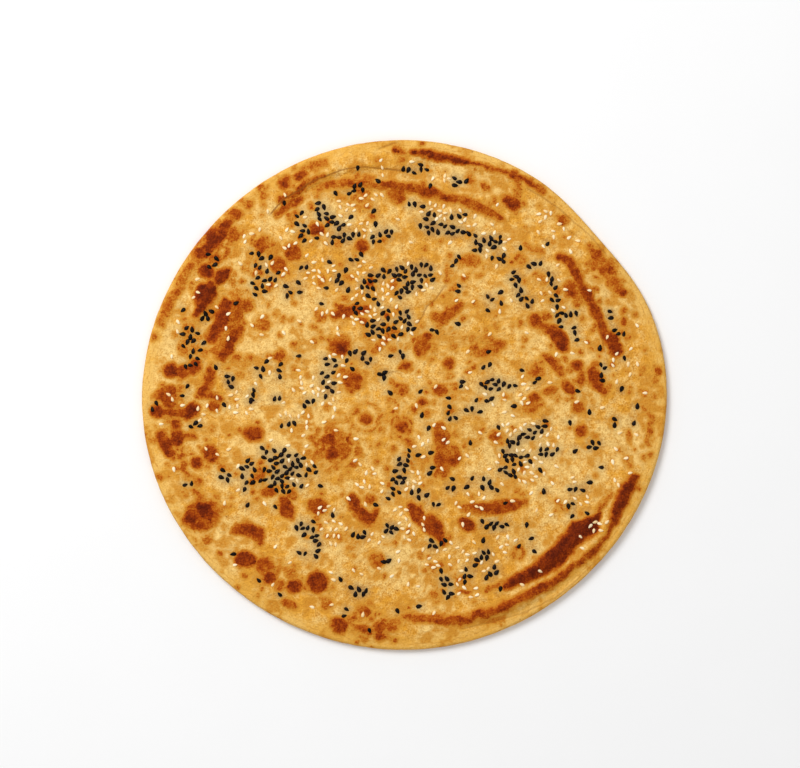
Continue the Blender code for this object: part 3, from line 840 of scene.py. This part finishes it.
def grain_group():
    """Fine natural grain for dough and seed coats: noise of a given size in metres. It puts out
    Grain, about 0.5 with more contrast as asked for, and Pores, sparse small dots of 0 to 1."""
    tree = bpy.data.node_groups.new("natural_grain", "ShaderNodeTree")
    face = tree.interface
    for name, value in (
        ("Size", 0.001),
        ("Contrast", 1.0),
        ("Pore Spacing", 0.005),
        ("Pore Reach", 0.22),
    ):
        face.new_socket(name, in_out="INPUT", socket_type="NodeSocketFloat").default_value = value
    for name in ("Grain", "Pores"):
        face.new_socket(name, in_out="OUTPUT", socket_type="NodeSocketFloat")
    given = tree.nodes.new("NodeGroupInput").outputs
    place = node(tree, "ShaderNodeTexCoord").outputs["Object"]
    noise = node(
        tree,
        "ShaderNodeTexNoise",
        Vector=place,
        Scale=maths(tree, "DIVIDE", 1.0, given["Size"]),
        Detail=4.0,
        Roughness=0.55,
    ).outputs[0]
    spread = maths(tree, "MULTIPLY", maths(tree, "SUBTRACT", noise, 0.5), given["Contrast"])
    grain = node(tree, "ShaderNodeClamp", Value=maths(tree, "ADD", spread, 0.5)).outputs[0]
    cells = node(
        tree,
        "ShaderNodeTexVoronoi",
        Vector=place,
        Scale=maths(tree, "DIVIDE", 1.0, given["Pore Spacing"]),
        Randomness=1.0,
    )
    size = node(tree, "ShaderNodeSeparateColor", Color=cells.outputs["Color"]).outputs[0]
    reach = maths(tree, "MULTIPLY", maths(tree, "POWER", size, 3.0), given["Pore Reach"])
    dots = maths(tree, "SUBTRACT", reach, cells.outputs["Distance"])
    pores = node(tree, "ShaderNodeClamp", Value=maths(tree, "MULTIPLY", dots, 16.0)).outputs[0]
    out = tree.nodes.new("NodeGroupOutput").inputs
    tree.links.new(grain, out["Grain"])
    tree.links.new(pores, out["Pores"])
    return tree


def grain(tree, size, contrast, pore_spacing=0.005, pore_reach=0.22):
    """The shared grain, placed in a material with its own sizes."""
    made = tree.nodes.new("ShaderNodeGroup")
    made.node_tree = bpy.data.node_groups.get("natural_grain") or grain_group()
    made.inputs["Size"].default_value = size
    made.inputs["Contrast"].default_value = contrast
    made.inputs["Pore Spacing"].default_value = pore_spacing
    made.inputs["Pore Reach"].default_value = pore_reach
    return made.outputs["Grain"], made.outputs["Pores"]


TAN_DOUGH = linear(242, 198, 117)
GOLDEN_DOUGH = linear(226, 158, 52)
RIM_DOUGH = linear(237, 182, 84)
DOUGH_SHADES = (
    (0.10, (0.75, 0.65, 0.52, 1)),
    (0.42, (0.94, 0.91, 0.88, 1)),
    (0.60, (1.00, 1.00, 1.02, 1)),
    (0.90, (1.17, 1.25, 1.40, 1)),
)
BROWNING_STOPS = (
    (0.00, linear(221, 162, 66)),
    (0.21, linear(211, 144, 48)),
    (0.33, linear(199, 122, 35)),
    (0.43, linear(186, 99, 20)),
    (0.53, linear(170, 77, 12)),
    (0.64, linear(152, 60, 10)),
    (0.74, linear(129, 46, 9)),
    (0.86, linear(108, 36, 10)),
    (1.00, linear(86, 26, 10)),
)


def soft_step(tree, value, low, high):
    """0 below low, 1 above high, and smooth between."""
    return node(
        tree,
        "ShaderNodeMapRange",
        interpolation_type="SMOOTHSTEP",
        Value=value,
        From_Min=low,
        From_Max=high,
    ).outputs[0]


def varied(tree, value, *noises):
    """The value with noises added, each as (noise, strength) and about its middle of a half."""
    for noise, strength in noises:
        value = maths(tree, "MULTIPLY_ADD", maths(tree, "SUBTRACT", noise, 0.5), strength, value)
    return value


def mark_over(tree, heat, layer, fine, middling, broad):
    """Lays one layer of marks over the heat so far: a toasted glow outside each outline, a crisp
    uneven edge, and a body that darkens towards its middle and is mottled by the grain."""
    depth, dark = attribute(tree, layer + "_depth"), attribute(tree, layer + "_dark")
    depth = varied(tree, depth, (fine, 0.5), (middling, 1.0), (broad, 0.8))
    glow = maths(tree, "MULTIPLY", soft_step(tree, depth, -2.8, 0.2), maths(tree, "MULTIPLY", dark, 0.60))
    heat = maths(tree, "MAXIMUM", heat, varied(tree, glow, (middling, 0.14), (fine, 0.10)))
    core = soft_step(tree, depth, 0.0, 2.4)
    own = maths(tree, "MULTIPLY", dark, maths(tree, "MULTIPLY_ADD", core, 0.16, 0.86))
    own = varied(tree, own, (fine, 0.34), (middling, 0.38), (broad, 0.50))
    return node(tree, "ShaderNodeMix", _0=soft_step(tree, depth, -0.25, 0.4), _2=heat, _3=own).outputs[0]


def crust_material():
    """Dough coloured by how far it is baked, the griddle's marks over it, char specks, a grey
    bloom about the black seeds, a dark line along each fine groove that is partly browning and
    partly painted shade, and grain in its gleam and relief."""
    material, tree, shader = new_material("crust", 0.5)
    shader.inputs["Specular IOR Level"].default_value = 0.03
    fine, pores = grain(tree, 0.0008, 2.3, 0.0034, 0.15)
    middling, specks = grain(tree, 0.0024, 1.7, 0.0078, 0.085)
    broad, _ = grain(tree, 0.0050, 1.5)
    golden = varied(tree, attribute(tree, "golden"), (broad, 1.3), (fine, -0.35))
    colour = mixed(tree, soft_step(tree, golden, 0.10, 0.85), TAN_DOUGH, GOLDEN_DOUGH)
    shade = ramp(tree, varied(tree, middling, (fine, 0.85)), DOUGH_SHADES)
    inward = attribute(tree, "inward")
    rim = maths(tree, "MULTIPLY", soft_step(tree, inward, 10.0, 3.0), 0.6)
    colour = mixed(tree, rim, colour, RIM_DOUGH)
    colour = mixed(tree, 1.0, colour, mixed(tree, rim, shade, (1, 1, 1, 1)), "MULTIPLY")
    wave = maths(tree, "SINE", maths(tree, "MULTIPLY", varied(tree, inward, (broad, 3.0)), 2.4))
    wave = maths(tree, "MULTIPLY", soft_step(tree, wave, 0.70, 1.0), soft_step(tree, middling, 0.42, 0.58))
    colour = mixed(tree, maths(tree, "MULTIPLY", wave, rim), colour, linear(196, 132, 54))
    stain = maths(tree, "MULTIPLY", attribute(tree, "seed_stain"), 0.90)
    colour = mixed(tree, stain, colour, linear(156, 130, 92))
    speckle = maths(tree, "MULTIPLY_ADD", maths(tree, "SUBTRACT", fine, 0.5), 0.7, 1.0)
    heat = maths(tree, "MULTIPLY", attribute(tree, "toasting"), speckle)
    heat = mark_over(tree, heat, "toast", fine, middling, broad)
    heat = mark_over(tree, heat, "burn", fine, middling, broad)
    browned = node(
        tree, "ShaderNodeMapRange", interpolation_type="SMOOTHSTEP", Value=heat, From_Max=0.32
    ).outputs[0]
    baked = ramp(tree, maths(tree, "MULTIPLY", heat, 0.86), BROWNING_STOPS)
    colour = mixed(tree, browned, colour, baked)
    colour = mixed(tree, maths(tree, "MULTIPLY", pores, 0.6), colour, linear(140, 72, 20))
    colour = mixed(tree, maths(tree, "MULTIPLY", specks, 0.75), colour, linear(96, 44, 16))
    # A dark brown line along each fine groove: partly browning in the crease, partly painted shade where the groove
    # lies in its own shadow.
    aside = maths(tree, "MULTIPLY_ADD", maths(tree, "SUBTRACT", middling, 0.5), 0.7,
                  attribute(tree, "groove_side"))
    line = node(tree, "ShaderNodeMapRange", interpolation_type="SMOOTHSTEP",
                Value=maths(tree, "ABSOLUTE", aside), From_Min=0.7, From_Max=0.15).outputs[0]
    line = maths(tree, "MULTIPLY", line, attribute(tree, "groove_shade_depth"))
    colour = mixed(tree, maths(tree, "MULTIPLY", line, 0.75), colour, linear(140, 78, 24))
    tree.links.new(colour, shader.inputs["Base Color"])
    gleam = node(tree, "ShaderNodeMapRange", Value=fine, To_Min=0.42, To_Max=0.62).outputs[0]
    tree.links.new(gleam, shader.inputs["Roughness"])
    relief = maths(tree, "MULTIPLY_ADD", fine, 0.6, maths(tree, "MULTIPLY", middling, 0.8))
    relief = maths(tree, "MULTIPLY_ADD", pores, -0.3, relief)
    bump = node(tree, "ShaderNodeBump", Height=relief, Strength=0.7, Distance=0.0006)
    tree.links.new(bump.outputs["Normal"], shader.inputs["Normal"])
    return material


def seed_material(name, stops, tip, roughness):
    """A seed coat: each seed its own tone, darker at its point, with fine grain."""
    material, tree, shader = new_material(name, roughness)
    shader.inputs["Specular IOR Level"].default_value = 0.10
    tone = attribute(tree, "seed_tone")
    fine, _ = grain(tree, 0.0005, 1.5)
    tone = maths(tree, "ADD", tone, maths(tree, "MULTIPLY", maths(tree, "SUBTRACT", fine, 0.5), 0.5))
    colour = ramp(tree, tone, stops)
    point = node(
        tree, "ShaderNodeMapRange", Value=attribute(tree, "seed_along"), From_Min=0.75, From_Max=1.0
    ).outputs[0]
    colour = mixed(tree, maths(tree, "MULTIPLY", point, 0.5), colour, tip)
    tree.links.new(colour, shader.inputs["Base Color"])
    bump = node(tree, "ShaderNodeBump", Height=fine, Strength=0.5, Distance=0.0001)
    tree.links.new(bump.outputs["Normal"], shader.inputs["Normal"])
    return material


# ---- Studio -----------------------------------------------------------------------------------

FRAME_WIDTH = 398.0  # what the camera sees across, on the bread
LENS = 100.0
SENSOR = 36.0
CAMERA_OFFSET = (-2.0, 5.7)  # from the coil's middle
FLOOR_HALF = 4.0


def make_floor():
    """A wide level floor with a slow unevenness in its paint, which isn't part of the bread."""
    material, tree, shader = new_material("floor_paint", 0.6)
    fine, _ = grain(tree, 0.05, 1.0)
    tree.links.new(ramp(tree, fine, ((0.0, (0.91, 0.91, 0.91, 1)), (1.0, (0.93, 0.93, 0.93, 1)))),
                   shader.inputs["Base Color"])
    corners = np.array([[-1, -1, 0], [1, -1, 0], [1, 1, 0], [-1, 1, 0]]) * FLOOR_HALF
    none = np.zeros((0, 3), int)
    return new_piece("studio_floor", corners, np.array([[0, 1, 2, 3]]), none, {}, material)


def add_light(name, place, size, watts, colour=(1, 1, 1)):
    """A square soft box that faces the bread."""
    lamp = bpy.data.lights.new(name, "AREA")
    lamp.size = size
    lamp.energy = watts
    lamp.color = colour
    light = bpy.data.objects.new(name, lamp)
    light.location = place
    light.rotation_euler = (-Vector(place)).to_track_quat("-Z", "Y").to_euler()
    bpy.context.scene.collection.objects.link(light)


def make_studio():
    scene = bpy.context.scene
    add_light("key_softbox", (-0.75, 0.85, 1.35), 0.8, 22)
    add_light("fill_softbox", (0.9, -0.6, 1.5), 1.6, 3)
    world = bpy.data.worlds.new("studio_air")
    world.use_nodes = True
    world.node_tree.nodes["Background"].inputs["Color"].default_value = (1, 1, 1, 1)
    world.node_tree.nodes["Background"].inputs["Strength"].default_value = 0.50
    scene.world = world
    scene.view_settings.view_transform = "Standard"

    camera = bpy.data.cameras.new("overhead_camera")
    camera.lens = LENS
    camera.sensor_width = SENSOR
    overhead = bpy.data.objects.new("overhead_camera", camera)
    x, y = np.array(BREAD_MIDDLE) + CAMERA_OFFSET
    overhead.location = Vector((x, y, FRAME_WIDTH / SENSOR * LENS + DOUGH_THICKNESS)) * MM
    scene.collection.objects.link(overhead)
    scene.camera = overhead


# ---- The bread on its floor --------------------------------------------------------------------

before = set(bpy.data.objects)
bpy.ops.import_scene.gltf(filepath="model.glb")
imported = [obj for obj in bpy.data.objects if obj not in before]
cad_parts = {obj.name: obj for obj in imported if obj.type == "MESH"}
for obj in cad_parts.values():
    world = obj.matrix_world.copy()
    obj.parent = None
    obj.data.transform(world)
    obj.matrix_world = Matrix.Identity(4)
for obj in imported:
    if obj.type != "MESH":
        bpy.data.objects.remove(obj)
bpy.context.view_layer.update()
solid_low, solid_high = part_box("paratha")
all_round = np.radians(np.arange(0, 360, 0.25))
outline = rim_radius(all_round) * np.stack([np.cos(all_round), np.sin(all_round)])
outline_middle = (outline.min(axis=1) + outline.max(axis=1)) / 2
BREAD_MIDDLE = tuple(np.array((solid_low + solid_high)[:2]) / 2 / MM - outline_middle)

rng = np.random.default_rng(2026)
seeds_down = []
black_places = lay_seeds(rng, BLACK_PINCHES, BLACK_STRAYS, 0, seeds_down)
pale_places = lay_seeds(rng, PALE_PINCHES, (), PALE_STREWN, seeds_down)

crust = make_crust(black_places)
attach(crust, "root")
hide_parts("paratha")

black = make_seeds(
    "black_seeds", black_places, BLACK_SEED, rng,
    seed_material("black_seed", ((0.0, linear(8, 2, 1)), (1.0, linear(24, 11, 5))), linear(40, 20, 9), 0.42),
)
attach(black, "root")

pale = make_seeds(
    "pale_seeds", pale_places, PALE_SEED, rng,
    seed_material("pale_seed", ((0.0, linear(255, 236, 196)), (1.0, linear(246, 212, 152))), linear(230, 190, 130), 0.45),
)
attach(pale, "root")

make_floor()
make_studio()
